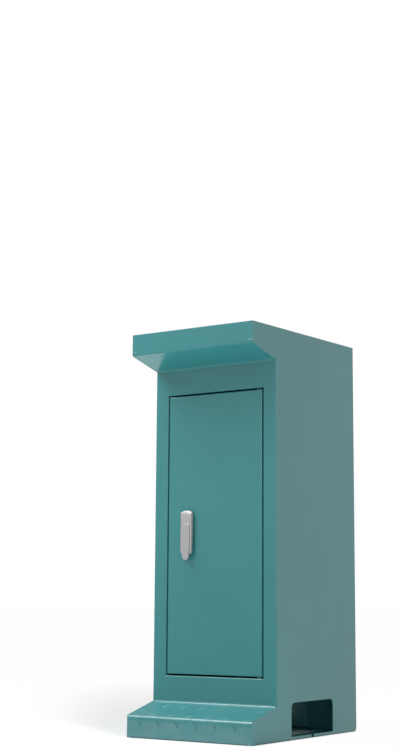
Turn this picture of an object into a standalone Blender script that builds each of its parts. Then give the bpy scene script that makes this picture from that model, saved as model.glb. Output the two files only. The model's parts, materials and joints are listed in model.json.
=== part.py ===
"""Drill mill stand: a folded sheet steel pedestal with a cabinet, a hinged door and a turning latch.

Metres, +Z up, the front faces -Y. The origin is on the floor under the middle of the stand.
"""
import math

import bmesh
import bpy
from mathutils import Matrix, Vector

# Overall form
WIDTH = 0.320
HEIGHT = 0.860
BODY_DEPTH = 0.325
HEAD_REACH = 0.089
FASCIA_HEIGHT = 0.0465
HEAD_DROP = 0.0235
STEP_REACH = 0.089
RISER_HEIGHT = 0.045
TREAD_RISE = 0.0247

# Sheets and the gap that is left at every joint between two pieces
SHEET = 0.002
TREAD_SHEET = 0.003
SEAT_SHEET = 0.003
RAIL_SHEET = 0.0025
STIFFENER_SHEET = 0.0015
FIT = 0.0003

# Folds, as radii of the outer side of each bend
SIDE_BEND = 0.004
NOSE_BEND = 0.005
HEAD_BEND = 0.003
DOOR_BEND = 0.0026
FRAME_BEND = 0.0026
SKIRT_BEND = 0.003
RAIL_BEND = 0.0035
STIFFENER_BEND = 0.0022
TAB_BEND = 0.0012
BEND_STEPS = 4

# Flanges, tabs and returns of the sheets
REAR_RETURN = 0.025
FRONT_FLANGE = 0.012
FLOOR_FLANGE = 0.055
TOP_FLANGE = 0.020
STEP_RETURN = 0.020
LAP_TAB = 0.015
FRAME_RETURN = 0.020
DOOR_RETURN = 0.015
FLOOR_SKIRT = 0.020
MITRE_GAP = 0.001
CORNER_RELIEF = 0.002
FLANGE_RELIEF = 0.0008
FRAME_SEAM = 0.002

# Base cut-outs and floor bolt slots of the side panels
CUTOUT_SETBACK = 0.056
CUTOUT_LENGTH = 0.166
CUTOUT_SILL = 0.0068
CUTOUT_HEIGHT = 0.0687
CUTOUT_RADIUS = 0.011
SLOT_WIDTH = 0.010
SLOT_LENGTH = 0.024

# Stiffener inside the back, and the rails that carry the machine
STIFFENER_WIDTH = 0.070
STIFFENER_DEPTH = 0.009
RAIL_WIDTH = 0.040
RAIL_HEIGHT = 0.025
BOLT_SPACING_X = 0.130
BOLT_SPACING_Y = 0.200
BOLT_HOLE = 0.011

# Door and its hinges
DOOR_WIDTH = 0.246
DOOR_HEIGHT = 0.600
DOOR_BOTTOM = 0.129
DOOR_GAP = 0.0035
HINGE_EDGE = 0.011
HINGE_SETBACK = 0.008
PIN_RADIUS = 0.003
PIN_ENGAGEMENT = 0.014
PIN_HEAD_RADIUS = 0.0048
PIN_HEAD_HEIGHT = 0.003
HINGE_FLANGE_RADIUS = 0.005
HINGE_BUSH_WALL = 0.0008
HINGE_PLATE_SHEET = 0.003
HINGE_PLATE_LENGTH = 0.030
HINGE_PLATE_INSET = 0.001
BUSH_PROUD = 0.001

# Door stop behind the latch side of the frame, with its rubber buffers
STOP_LAP = 0.012
STOP_BACKING = 0.010
STOP_END_INSET = 0.010
BUFFER_RADIUS = 0.005
BUFFER_INSET = 0.004
BUFFER_END_DISTANCE = 0.060

# Latch handle: a yoke on a spindle, and a lever that folds into the yoke
LATCH_BACKSET = 0.0548
LATCH_HEIGHT = 0.449
YOKE_WIDTH = 0.029
YOKE_ABOVE = 0.028
YOKE_BELOW = 0.068
YOKE_WEB_BELOW = 0.013
YOKE_FRONT = 0.0105
YOKE_CLEARANCE = 0.0022
YOKE_REAR_RISE = 0.0035
YOKE_CORNER = 0.0055
YOKE_ARCH = 0.0045
YOKE_SLOPE_HEIGHT = 0.008
YOKE_SLOPE_DEPTH = 0.0045
YOKE_CHEEK = 0.0036
YOKE_EDGE = 0.002
LEVER_BELOW = 0.0785
LEVER_PROUD = 0.002
LEVER_PIN_DEPTH = 0.002
LEVER_KNUCKLE = 0.0025
LEVER_SHOULDER = 0.008
LEVER_TIP_RADIUS = 0.0085
LEVER_TIP_TAPER = 0.010
LEVER_TIP_THICKNESS = 0.0045
LEVER_EDGE = 0.0009
LEVER_GAP = 0.0006
LEVER_SIDE_GAP = 0.0006
CROSS_PIN_RADIUS = 0.001
CROSS_PIN_INSET = 0.0003
SPINDLE_RADIUS = 0.005
SPINDLE_SQUARE = 0.0068
THREAD_RADIUS = 0.003
THREAD_END = 0.002
LATCH_BUSH_WALL = 0.0025
LATCH_BUSH_FLANGE = 0.0030
LATCH_BUSH_FLANGE_HEIGHT = 0.0012
LATCH_BUSH_PROUD = 0.002
LATCH_NUT_RING = 0.005
LATCH_NUT_HEIGHT = 0.004
CAM_REACH = 0.0658
CAM_WIDTH = 0.018
CAM_SHEET = 0.003
CAM_CLEARANCE = 0.0015
WASHER_RING = 0.003
WASHER_HEIGHT = 0.0012
CAM_NUT_RING = 0.0027
CAM_NUT_HEIGHT = 0.005

ROUND_STEPS = 24
OVERCUT = 0.010

# Places worked out from the sizes above
HALF = WIDTH / 2
INNER = HALF - SHEET
FRONT = (max(STEP_REACH, HEAD_REACH) - BODY_DEPTH) / 2
BACK = FRONT + BODY_DEPTH
BACK_SKIN = BACK - SHEET - FIT
BACK_INSIDE = BACK_SKIN - SHEET
TAB_FACE = FRONT + SHEET + FIT
HEAD_FRONT = FRONT - HEAD_REACH
HEAD_LOW = HEIGHT - FASCIA_HEIGHT - HEAD_DROP
HEAD_FLANGE_LOW = HEIGHT - FASCIA_HEIGHT + 2 * HEAD_BEND
STEP_FRONT = FRONT - STEP_REACH
STEP_HIGH = RISER_HEIGHT + TREAD_RISE
STEP_FLANGE_HIGH = RISER_HEIGHT - 2 * NOSE_BEND
FRAME_LOW = STEP_HIGH + FRAME_SEAM
FRAME_HIGH = HEAD_LOW - FRAME_SEAM
FLANGE_EDGE = HALF - FRONT_FLANGE
SEAT_UNDERSIDE = HEIGHT - SEAT_SHEET - FIT
SEAT_CENTRE_Y = FRONT + BODY_DEPTH / 2
CUTOUT_CENTRE_Y = FRONT + CUTOUT_SETBACK + CUTOUT_LENGTH / 2

DOOR_TOP = DOOR_BOTTOM + DOOR_HEIGHT
DOOR_HALF = DOOR_WIDTH / 2
OPENING_HALF = DOOR_HALF + DOOR_GAP
OPENING_LOW = DOOR_BOTTOM - DOOR_GAP
OPENING_TOP = DOOR_TOP + DOOR_GAP
HINGE_X = DOOR_HALF - HINGE_EDGE
HINGE_Y = FRONT + HINGE_SETBACK
HINGE_BUSH_RADIUS = PIN_RADIUS + FIT + HINGE_BUSH_WALL
STOP_FRONT = FRONT + FRAME_RETURN + FIT

LATCH_X = LATCH_BACKSET - DOOR_HALF
YOKE_FLOOR = YOKE_FRONT - LEVER_PIN_DEPTH - LEVER_KNUCKLE - LEVER_GAP
LEVER_HALF = YOKE_WIDTH / 2 - YOKE_CHEEK - LEVER_SIDE_GAP
LEVER_FACE = -LEVER_PROUD - LEVER_PIN_DEPTH
LEVER_AXIS_Y = FRONT - YOKE_FRONT + LEVER_PIN_DEPTH
LATCH_BUSH_RADIUS = SPINDLE_RADIUS + FIT + LATCH_BUSH_WALL
CAM_FRONT = FRONT + FRAME_RETURN + FIT + SHEET + CAM_CLEARANCE

for old in list(bpy.data.objects):
    bpy.data.objects.remove(old, do_unlink=True)


def make_material(name, colour, roughness, metallic):
    """Plain finish: a Principled BSDF with one colour."""
    material = bpy.data.materials.new(name)
    material.use_nodes = True
    shader = material.node_tree.nodes["Principled BSDF"]
    shader.inputs["Base Color"].default_value = (*colour, 1.0)
    shader.inputs["Roughness"].default_value = roughness
    shader.inputs["Metallic"].default_value = metallic
    return material


FINISHES = {
    "paint": ((0.066, 0.246, 0.250), 0.38, 0.0),
    "zinc": ((0.46, 0.46, 0.47), 0.42, 0.9),
    "steel": ((0.50, 0.50, 0.51), 0.35, 1.0),
    "plated": ((0.55, 0.54, 0.50), 0.40, 1.0),
    "rubber": ((0.02, 0.02, 0.02), 0.80, 0.0),
}


def add_piece(name, mesh, finish):
    """One named object with a material of its own."""
    piece = bpy.data.objects.new(name, mesh)
    bpy.context.collection.objects.link(piece)
    mesh.materials.append(make_material(name, *FINISHES[finish]))
    return piece


def add_axis(name, place, parent=None):
    """Empty on a joint's axis, which carries the pieces that turn about it."""
    axis = bpy.data.objects.new(name, None)
    axis.empty_display_size = 0.03
    axis.location = Vector(place)
    if parent is not None:
        axis.parent = parent
        axis.location -= parent.matrix_world.translation
    bpy.context.collection.objects.link(axis)
    bpy.context.view_layer.update()
    return axis


def hang(piece, axis):
    """Move a piece's origin onto an axis and parent it there."""
    piece.data.transform(Matrix.Translation(-axis.matrix_world.translation))
    piece.parent = axis


def add_cutter(name, mesh):
    """Hidden body that other pieces are cut with."""
    cutter = bpy.data.objects.new(name, mesh)
    bpy.context.collection.objects.link(cutter)
    cutter.hide_render = True
    cutter.display_type = "WIRE"
    return cutter


def combine(piece, tool, operation="DIFFERENCE"):
    """Cut a piece with a tool body, or join the tool to it."""
    modifier = piece.modifiers.new(tool.name, "BOOLEAN")
    modifier.operation = operation
    modifier.object = tool


def arc_angles(turn, steps=BEND_STEPS):
    """Evenly spaced angles from 0 to a turn, both ends included."""
    return [turn * step / steps for step in range(steps + 1)]


def rounded_path(corners):
    """2-D polyline through (a, b, radius) corners, with an arc at each corner whose radius isn't 0."""
    path = []
    for index, (a, b, radius) in enumerate(corners):
        corner = Vector((a, b))
        if radius == 0:
            path.append(corner)
            continue
        before = (Vector(corners[index - 1][:2]) - corner).normalized()
        after = (Vector(corners[(index + 1) % len(corners)][:2]) - corner).normalized()
        between = before.angle(after)
        centre = corner + (before + after).normalized() * radius / math.sin(between / 2)
        start = corner + before * radius / math.tan(between / 2) - centre
        turn = math.copysign(math.pi - between, before.y * after.x - before.x * after.y)
        for angle in arc_angles(turn):
            path.append(centre + Matrix.Rotation(angle, 2) @ start)
    return path


def fold_offsets(radius):
    """(inset, depth) pairs along a right-angled fold, from the face to the return."""
    angles = arc_angles(math.pi / 2)
    return [(radius * (1 - math.sin(t)), radius * (1 - math.cos(t))) for t in angles]


def mesh_from_faces(name, faces):
    """Mesh from faces given as lists of points. Equal points become one vertex."""
    bm = bmesh.new()
    verts = {}
    for face in faces:
        corners = []
        for point in face:
            key = tuple(round(value, 7) for value in point)
            if key not in verts:
                verts[key] = bm.verts.new(point)
            corners.append(verts[key])
        bm.faces.new(corners)
    mesh = bpy.data.meshes.new(name)
    bm.to_mesh(mesh)
    bm.free()
    return mesh


def add_sheet(name, faces, thickness):
    """Painted sheet whose outer side is given by faces. The thickness goes inwards."""
    piece = add_piece(name, mesh_from_faces(name, faces), "paint")
    solid = piece.modifiers.new("thickness", "SOLIDIFY")
    solid.thickness = thickness
    solid.offset = -1.0
    solid.use_even_offset = True
    solid.use_quality_normals = True
    return piece


def fold_along_x(path, half_length):
    """Faces of a (y, z) path drawn out along X to plus and minus half_length(y, z)."""
    faces = []
    for a, b in zip(path, path[1:]):
        end_a = half_length(*a)
        end_b = half_length(*b)
        faces.append([(-end_a, *a), (end_a, *a), (end_b, *b), (-end_b, *b)])
    return faces


def rectangle(low, high, depth, across):
    """Corner points of a rectangle, turned so that it lies in the XZ or the XY plane."""
    flat = [(low[0], low[1]), (high[0], low[1]), (high[0], high[1]), (low[0], high[1])]
    if across == "XZ":
        return [(u, depth, v) for u, v in flat]
    return [(u, v, depth) for u, v in flat]


def bridge(first, second, inward=False):
    """Faces between two rectangles. Inward means that the second lies inside the first."""
    faces = []
    for i in range(4):
        j = (i + 1) % 4
        if inward:
            faces.append([first[i], first[j], second[j], second[i]])
        else:
            faces.append([first[i], second[i], second[j], first[j]])
    return faces


def pan_faces(low, high, level, sink, side, bend, across):
    """Faces of a pan: a rectangle with a return of length side folded back on all four edges."""
    rings = []
    for inset, depth in [*fold_offsets(bend), (0.0, side)]:
        ring_low = (low[0] + inset, low[1] + inset)
        ring_high = (high[0] - inset, high[1] - inset)
        rings.append(rectangle(ring_low, ring_high, level + sink * depth, across))
    faces = [rings[0]]
    for first, second in zip(rings, rings[1:]):
        faces += bridge(first, second)
    return faces


def finish_mesh(name, bm):
    """Closed mesh from a bmesh, with its faces pointing out and its round faces smooth."""
    bmesh.ops.recalc_face_normals(bm, faces=bm.faces)
    mesh = bpy.data.meshes.new(name)
    bm.to_mesh(mesh)
    bm.free()
    mesh.shade_smooth()
    mesh.set_sharp_from_angle(angle=math.radians(35))
    return mesh


def turned_mesh(name, profile, base, axis):
    """Solid of revolution. The profile is (radius, height) points from the base along the axis."""
    bm = bmesh.new()
    verts = [bm.verts.new((radius, 0.0, height)) for radius, height in profile]
    edges = [bm.edges.new(pair) for pair in zip(verts, verts[1:])]
    if profile[0][0] > 0:
        edges.append(bm.edges.new((verts[-1], verts[0])))
    bmesh.ops.spin(bm, geom=verts + edges, cent=(0, 0, 0), axis=(0, 0, 1),
                   angle=2 * math.pi, steps=ROUND_STEPS, use_merge=True)
    bmesh.ops.remove_doubles(bm, verts=bm.verts, dist=0.000001)
    turn = Vector((0, 0, 1)).rotation_difference(Vector(axis)).to_matrix().to_4x4()
    bmesh.ops.transform(bm, matrix=Matrix.Translation(base) @ turn, verts=bm.verts)
    return finish_mesh(name, bm)


def ring_profile(inner, outer, start, end):
    """Profile of a plain ring."""
    return [(inner, start), (outer, start), (outer, end), (inner, end)]


def rod_profile(radius, start, end):
    """Profile of a plain rod."""
    return [(0, start), (radius, start), (radius, end), (0, end)]


def prism_bmesh(points, reach):
    """Closed prism: a flat outline drawn out by the vector reach."""
    bm = bmesh.new()
    face = bm.faces.new([bm.verts.new(point) for point in points])
    drawn = bmesh.ops.extrude_face_region(bm, geom=[face])
    moved = [item for item in drawn["geom"] if isinstance(item, bmesh.types.BMVert)]
    bmesh.ops.translate(bm, verts=moved, vec=reach)
    return bm


def box_mesh(name, low, high):
    """Closed box between two corners."""
    outline = rectangle(low[:2], high[:2], low[2], "XY")
    return finish_mesh(name, prism_bmesh(outline, (0, 0, high[2] - low[2])))


def hexagon_mesh(name, radius, centre, start, end):
    """Closed hexagonal prism along Y."""
    corners = [math.radians(60 * corner) for corner in range(6)]
    outline = [(centre[0] + radius * math.cos(t), start, centre[1] + radius * math.sin(t)) for t in corners]
    return finish_mesh(name, prism_bmesh(outline, (0, end - start, 0)))


def head_height(y):
    """Height of the sloped underside of the head, carried on behind the front face."""
    return HEAD_LOW - HEAD_DROP / HEAD_REACH * (y - FRONT)


def tread_height(y):
    """Height of the sloped tread, carried on behind the front face."""
    return STEP_HIGH + TREAD_RISE / STEP_REACH * (y - FRONT)


def side_outline():
    """Flat part of a side panel as (y, z) points, with ears that reach to the noses of head and step."""
    floor_start = STEP_FRONT + STEP_RETURN + MITRE_GAP
    fold_back = BACK - SIDE_BEND
    fold_head = HEAD_FRONT + SIDE_BEND
    fold_front = FRONT + SIDE_BEND
    fold_step = STEP_FRONT + SIDE_BEND
    head_ear = HEAD_FLANGE_LOW - FLANGE_RELIEF
    step_ear = STEP_FLANGE_HIGH + FLANGE_RELIEF
    corners = [
        (fold_step, 0.0, 0), (floor_start - CORNER_RELIEF, 0.0, 0),
        (floor_start - CORNER_RELIEF, SIDE_BEND, 0), (floor_start, SIDE_BEND, 0),
        (fold_back - MITRE_GAP, SIDE_BEND, 0), (fold_back, SIDE_BEND, 0),
        (fold_back, SIDE_BEND + CORNER_RELIEF, 0), (fold_back, HEIGHT, 0),
        (fold_head, HEIGHT, 0), (fold_head, HEAD_FLANGE_LOW, 0), (fold_head, head_ear, 0),
        (HEAD_FRONT, head_ear, 0), (HEAD_FRONT, HEIGHT - FASCIA_HEIGHT, HEAD_BEND),
        (fold_front, head_height(fold_front), 0), (fold_front, FRAME_HIGH, 0),
        (fold_front, FRAME_LOW, 0), (fold_front, tread_height(fold_front), 0),
        (STEP_FRONT, RISER_HEIGHT, NOSE_BEND), (STEP_FRONT, step_ear, 0),
        (fold_step, step_ear, 0), (fold_step, STEP_FLANGE_HIGH, 0),
    ]
    return rounded_path(corners)


def upright_fold(face, inward, width, low, high):
    """Faces of a fold of the right side panel. inward is 1 at a front edge and -1 at the back edge."""
    path = [(HALF - depth, face + inward * inset) for inset, depth in fold_offsets(SIDE_BEND)]
    path.append((HALF - width, face))
    faces = []
    for (xa, ya), (xb, yb) in zip(path, path[1:]):
        strip = [(xa, ya, low), (xb, yb, low), (xb, yb, high), (xa, ya, high)]
        faces.append(strip if inward < 0 else strip[::-1])
    return faces


def make_side_panel(name, side):
    """C-shaped side, folded over front, back and floor, with a cut-out and a slot in its base."""
    faces = [[(HALF, y, z) for y, z in side_outline()]]
    faces += upright_fold(HEAD_FRONT, 1, FRONT_FLANGE, HEAD_FLANGE_LOW, HEIGHT)
    faces += upright_fold(FRONT, 1, FRONT_FLANGE, FRAME_LOW, FRAME_HIGH)
    faces += upright_fold(STEP_FRONT, 1, FRONT_FLANGE, 0.0, STEP_FLANGE_HIGH)
    faces += upright_fold(BACK, -1, REAR_RETURN, SIDE_BEND + CORNER_RELIEF, HEIGHT)

    floor_start = STEP_FRONT + STEP_RETURN + MITRE_GAP
    floor_path = [(HALF - depth, inset) for inset, depth in fold_offsets(SIDE_BEND)]
    floor_path.append((HALF - FLOOR_FLANGE, 0.0))
    for (xa, za), (xb, zb) in zip(floor_path, floor_path[1:]):
        end_a = BACK - max(HALF - xa, SIDE_BEND) - MITRE_GAP
        end_b = BACK - max(HALF - xb, SIDE_BEND) - MITRE_GAP
        faces.append([(xa, end_a, za), (xa, floor_start, za), (xb, floor_start, zb), (xb, end_b, zb)])

    if side < 0:
        faces = [[(-x, y, z) for x, y, z in reversed(face)] for face in faces]
    panel = add_sheet(name, faces, SHEET)

    cutout_front = FRONT + CUTOUT_SETBACK
    cutout_back = cutout_front + CUTOUT_LENGTH
    cutout_top = CUTOUT_SILL + CUTOUT_HEIGHT
    window = rounded_path([
        (cutout_front, CUTOUT_SILL, 0), (cutout_back, CUTOUT_SILL, 0),
        (cutout_back, cutout_top, CUTOUT_RADIUS), (cutout_front, cutout_top, CUTOUT_RADIUS),
    ])
    start = side * (INNER - OVERCUT)
    reach = side * (SHEET + 2 * OVERCUT)
    cutter = prism_bmesh([(start, y, z) for y, z in window], (reach, 0, 0))
    combine(panel, add_cutter(name + "_window", finish_mesh(name + "_window", cutter)))

    slot_x = sorted((side * (HALF - SLOT_LENGTH), side * (HALF + OVERCUT)))
    slot_low = (slot_x[0], CUTOUT_CENTRE_Y - SLOT_WIDTH / 2, -OVERCUT)
    slot_high = (slot_x[1], CUTOUT_CENTRE_Y + SLOT_WIDTH / 2, CUTOUT_SILL + OVERCUT)
    combine(panel, add_cutter(name + "_slot", box_mesh(name + "_slot", slot_low, slot_high)))


def trim_ends(piece, label, reach, low, high):
    """Cut both ends of a piece back to plus and minus reach, between two (y, z) corners."""
    for side, end in ((-1, "left"), (1, "right")):
        across = sorted((side * reach, side * (HALF + OVERCUT)))
        name = label + "_" + end
        cutter = add_cutter(name, box_mesh(name, (across[0], *low), (across[1], *high)))
        combine(piece, cutter)


def make_back():
    """Back panel, lapped inside the folds of the side panels, and the channel that stiffens it."""
    def half_length(y, z):
        """Half width of the panel, mitred along its floor flange."""
        mitre = BACK - y + MITRE_GAP if z < SIDE_BEND else 0.0
        return HALF - max(mitre, SIDE_BEND + FIT)

    path = rounded_path([
        (BACK_SKIN - TOP_FLANGE, SEAT_UNDERSIDE, 0), (BACK_SKIN, SEAT_UNDERSIDE, SIDE_BEND),
        (BACK_SKIN, 0, SIDE_BEND), (BACK - FLOOR_FLANGE, 0, 0),
    ])
    add_sheet("back_panel", fold_along_x(path, half_length), SHEET)

    half = STIFFENER_WIDTH / 2
    open_side = BACK_INSIDE - FIT
    web = open_side - STIFFENER_DEPTH
    section = rounded_path([
        (half, open_side, 0), (half, web, STIFFENER_BEND),
        (-half, web, STIFFENER_BEND), (-half, open_side, 0),
    ])
    low = SIDE_BEND + FIT
    high = SEAT_UNDERSIDE - SIDE_BEND - FIT
    faces = []
    for a, b in zip(section, section[1:]):
        faces.append([(*a, low), (*a, high), (*b, high), (*b, low)])
    add_sheet("back_stiffener", faces, STIFFENER_SHEET)


def make_head():
    """Head of the stand: upright fascia and sloped underside in one fold, lapped behind the front frame."""
    tab_height = head_height(TAB_FACE)
    path = rounded_path([
        (TAB_FACE, tab_height - LAP_TAB, 0), (TAB_FACE, tab_height, TAB_BEND),
        (HEAD_FRONT, HEIGHT - FASCIA_HEIGHT, HEAD_BEND), (HEAD_FRONT, HEIGHT, 0),
    ])
    head = add_sheet("head_fascia", fold_along_x(path, lambda y, z: INNER - FIT), SHEET)
    trim_ends(head, "fascia_end", FLANGE_EDGE - FIT,
              (HEAD_FRONT - OVERCUT, HEAD_FLANGE_LOW - FLANGE_RELIEF - FIT),
              (HEAD_FRONT + OVERCUT, HEIGHT + OVERCUT))
    trim_ends(head, "head_tab_end", HALF - SIDE_BEND - FIT,
              (FRONT - OVERCUT, FRAME_HIGH - LAP_TAB - OVERCUT), (FRONT + OVERCUT, FRAME_HIGH + FIT))


def make_step():
    """Foot step: tread plate folded into a floor return, a riser, a sloped tread and a lap tab."""
    tab_height = tread_height(TAB_FACE)
    path = rounded_path([
        (STEP_FRONT + STEP_RETURN, 0, 0), (STEP_FRONT, 0, NOSE_BEND),
        (STEP_FRONT, RISER_HEIGHT, NOSE_BEND), (TAB_FACE, tab_height, TAB_BEND),
        (TAB_FACE, tab_height + LAP_TAB, 0),
    ])
    step = add_sheet("tread_step", fold_along_x(path, lambda y, z: INNER - FIT), TREAD_SHEET)
    trim_ends(step, "riser_end", FLANGE_EDGE - FIT, (STEP_FRONT - OVERCUT, -OVERCUT),
              (STEP_FRONT + STEP_RETURN + OVERCUT, STEP_FLANGE_HIGH + FLANGE_RELIEF + FIT))
    trim_ends(step, "step_tab_end", HALF - SIDE_BEND - FIT,
              (FRONT - OVERCUT, FRAME_LOW - FIT), (FRONT + OVERCUT, FRAME_LOW + LAP_TAB + OVERCUT))


def make_front_frame(pin_cutter):
    """Front of the cabinet: a flat sheet with the door opening, whose edges are folded inwards."""
    edge = FLANGE_EDGE - FIT
    rings = [rectangle((-edge, FRAME_LOW), (edge, FRAME_HIGH), FRONT, "XZ")]
    for outset, depth in [*fold_offsets(FRAME_BEND), (0.0, FRAME_RETURN)]:
        low = (-OPENING_HALF - outset, OPENING_LOW - outset)
        high = (OPENING_HALF + outset, OPENING_TOP + outset)
        rings.append(rectangle(low, high, FRONT + depth, "XZ"))
    faces = []
    for first, second in zip(rings, rings[1:]):
        faces += bridge(first, second, inward=True)
    frame = add_sheet("front_frame", faces, SHEET)
    combine(frame, pin_cutter)


def make_cabinet_floor():
    """Floor of the cabinet: a pan turned down on all sides, notched round the back stiffener."""
    low = (FIT - INNER, FRONT + FRAME_RETURN + FIT)
    high = (INNER - FIT, BACK_INSIDE - FIT)
    faces = pan_faces(low, high, OPENING_LOW, -1, FLOOR_SKIRT, SKIRT_BEND, "XY")
    floor = add_sheet("cabinet_floor", faces, SHEET)
    half = STIFFENER_WIDTH / 2 + FIT
    notch_front = BACK_INSIDE - FIT - STIFFENER_DEPTH - FIT
    notch_low = (-half, notch_front, OPENING_LOW - FLOOR_SKIRT - OVERCUT)
    notch_high = (half, BACK_INSIDE + OVERCUT, OPENING_LOW + OVERCUT)
    combine(floor, add_cutter("stiffener_notch", box_mesh("stiffener_notch", notch_low, notch_high)))


def make_seat():
    """Machine seat: the top plate, and two channels under it that take the machine's bolts."""
    bm = bmesh.new()
    for x in (-BOLT_SPACING_X / 2, BOLT_SPACING_X / 2):
        for y in (-BOLT_SPACING_Y / 2, BOLT_SPACING_Y / 2):
            place = Matrix.Translation((x, SEAT_CENTRE_Y + y, HEIGHT))
            bmesh.ops.create_cone(bm, cap_ends=True, segments=ROUND_STEPS, radius1=BOLT_HOLE / 2,
                                  radius2=BOLT_HOLE / 2, depth=2 * RAIL_HEIGHT, matrix=place)
    holes = add_cutter("machine_bolt_holes", finish_mesh("machine_bolt_holes", bm))

    edge = INNER - FIT
    front_edge = HEAD_FRONT + SHEET + FIT
    corner = SIDE_BEND - SHEET - FIT
    outline = rounded_path([
        (-edge, front_edge, corner), (edge, front_edge, corner),
        (edge, BACK_SKIN, corner), (-edge, BACK_SKIN, corner),
    ])
    underside = HEIGHT - SEAT_SHEET
    plate = prism_bmesh([(x, y, underside) for x, y in outline], (0, 0, SEAT_SHEET))
    combine(add_piece("top_plate", finish_mesh("top_plate", plate), "paint"), holes)

    for name, sign in (("front_seat_rail", -1), ("rear_seat_rail", 1)):
        middle = SEAT_CENTRE_Y + sign * BOLT_SPACING_Y / 2
        front = middle - RAIL_WIDTH / 2
        back = middle + RAIL_WIDTH / 2
        low = SEAT_UNDERSIDE - RAIL_HEIGHT
        path = rounded_path([
            (front, low, 0), (front, SEAT_UNDERSIDE, RAIL_BEND),
            (back, SEAT_UNDERSIDE, RAIL_BEND), (back, low, 0),
        ])
        rail = add_sheet(name, fold_along_x(path, lambda y, z: INNER - FIT), RAIL_SHEET)
        combine(rail, holes)


def make_door_stop():
    """Strip behind the latch side of the frame that the door shuts against, with two rubber buffers."""
    low = (-OPENING_HALF - STOP_BACKING, STOP_FRONT, OPENING_LOW + STOP_END_INSET)
    high = (-OPENING_HALF + STOP_LAP, STOP_FRONT + SHEET, OPENING_TOP - STOP_END_INSET)
    add_piece("door_stop_strip", box_mesh("door_stop_strip", low, high), "paint")
    length = FRAME_RETURN + FIT - DOOR_RETURN - 2 * FIT
    profile = rod_profile(BUFFER_RADIUS, 0, length)
    for name, z in (("lower_door_buffer", DOOR_BOTTOM + BUFFER_END_DISTANCE),
                    ("upper_door_buffer", DOOR_TOP - BUFFER_END_DISTANCE)):
        base = (-DOOR_HALF + BUFFER_INSET, STOP_FRONT - FIT, z)
        add_piece(name, turned_mesh(name, profile, base, (0, -1, 0)), "rubber")


def make_hinge(prefix, door_edge, up, door_axis):
    """Hinge at one end of the door: pin, thrust washer, bush and reinforcing plate. up is 1 or -1."""
    base = (HINGE_X, HINGE_Y, door_edge)
    axis = (0, 0, up)
    bore = PIN_RADIUS + FIT
    ring = (DOOR_GAP - 3 * FIT) / 2
    seat = -DOOR_GAP - SHEET - FIT
    pin = [(0, seat - PIN_HEAD_HEIGHT), (PIN_HEAD_RADIUS, seat - PIN_HEAD_HEIGHT), (PIN_HEAD_RADIUS, seat),
           (PIN_RADIUS, seat), (PIN_RADIUS, PIN_ENGAGEMENT), (0, PIN_ENGAGEMENT)]
    add_piece(prefix + "_hinge_pin", turned_mesh(prefix + "_hinge_pin", pin, base, axis), "steel")
    washer = ring_profile(bore, HINGE_FLANGE_RADIUS, FIT - DOOR_GAP, FIT - DOOR_GAP + ring)
    add_piece(prefix + "_hinge_washer", turned_mesh(prefix + "_hinge_washer", washer, base, axis), "paint")

    plate_start = SHEET + FIT
    bush_end = plate_start + HINGE_PLATE_SHEET + BUSH_PROUD
    bush = [(bore, -FIT - ring), (HINGE_FLANGE_RADIUS, -FIT - ring), (HINGE_FLANGE_RADIUS, -FIT),
            (HINGE_BUSH_RADIUS, -FIT), (HINGE_BUSH_RADIUS, bush_end), (bore, bush_end)]
    name = prefix + "_hinge_bush"
    bush_piece = add_piece(name, turned_mesh(name, bush, base, axis), "paint")
    hang(bush_piece, door_axis)

    right = DOOR_HALF - SHEET - FIT
    ends = sorted((door_edge + up * plate_start, door_edge + up * (plate_start + HINGE_PLATE_SHEET)))
    low = (right - HINGE_PLATE_LENGTH, FRONT + SHEET + FIT, ends[0])
    high = (right, FRONT + DOOR_RETURN - HINGE_PLATE_INSET, ends[1])
    name = prefix + "_hinge_plate"
    plate = add_piece(name, box_mesh(name, low, high), "plated")
    hang(plate, door_axis)
    return plate


def make_hinge_cutter(name, radius, reach):
    """Two upright rods on the hinge axis, one at each end of the door."""
    bm = bmesh.new()
    for z in (DOOR_BOTTOM, DOOR_TOP):
        bmesh.ops.create_cone(bm, cap_ends=True, segments=ROUND_STEPS, radius1=radius, radius2=radius,
                              depth=2 * reach, matrix=Matrix.Translation((HINGE_X, HINGE_Y, z)))
    return add_cutter(name, finish_mesh(name, bm))


def make_door(door_axis):
    """Door: a flat pan, flush with the front, hung on a pin at the top and the bottom of its right side."""
    low = (-DOOR_HALF, DOOR_BOTTOM)
    high = (DOOR_HALF, DOOR_TOP)
    faces = pan_faces(low, high, FRONT, 1, DOOR_RETURN, DOOR_BEND, "XZ")
    door = add_sheet("door_panel", faces, SHEET)
    hang(door, door_axis)
    plates = [make_hinge("lower", DOOR_BOTTOM, 1, door_axis), make_hinge("upper", DOOR_TOP, -1, door_axis)]

    bush_hole = make_hinge_cutter("hinge_bush_holes", HINGE_BUSH_RADIUS + FIT, PIN_ENGAGEMENT)
    for piece in [door, *plates]:
        combine(piece, bush_hole)
    hole = turned_mesh("latch_hole", rod_profile(LATCH_BUSH_RADIUS + FIT, -OVERCUT, OVERCUT),
                       (LATCH_X, FRONT, LATCH_HEIGHT), (0, 1, 0))
    combine(door, add_cutter("latch_hole", hole))


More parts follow.
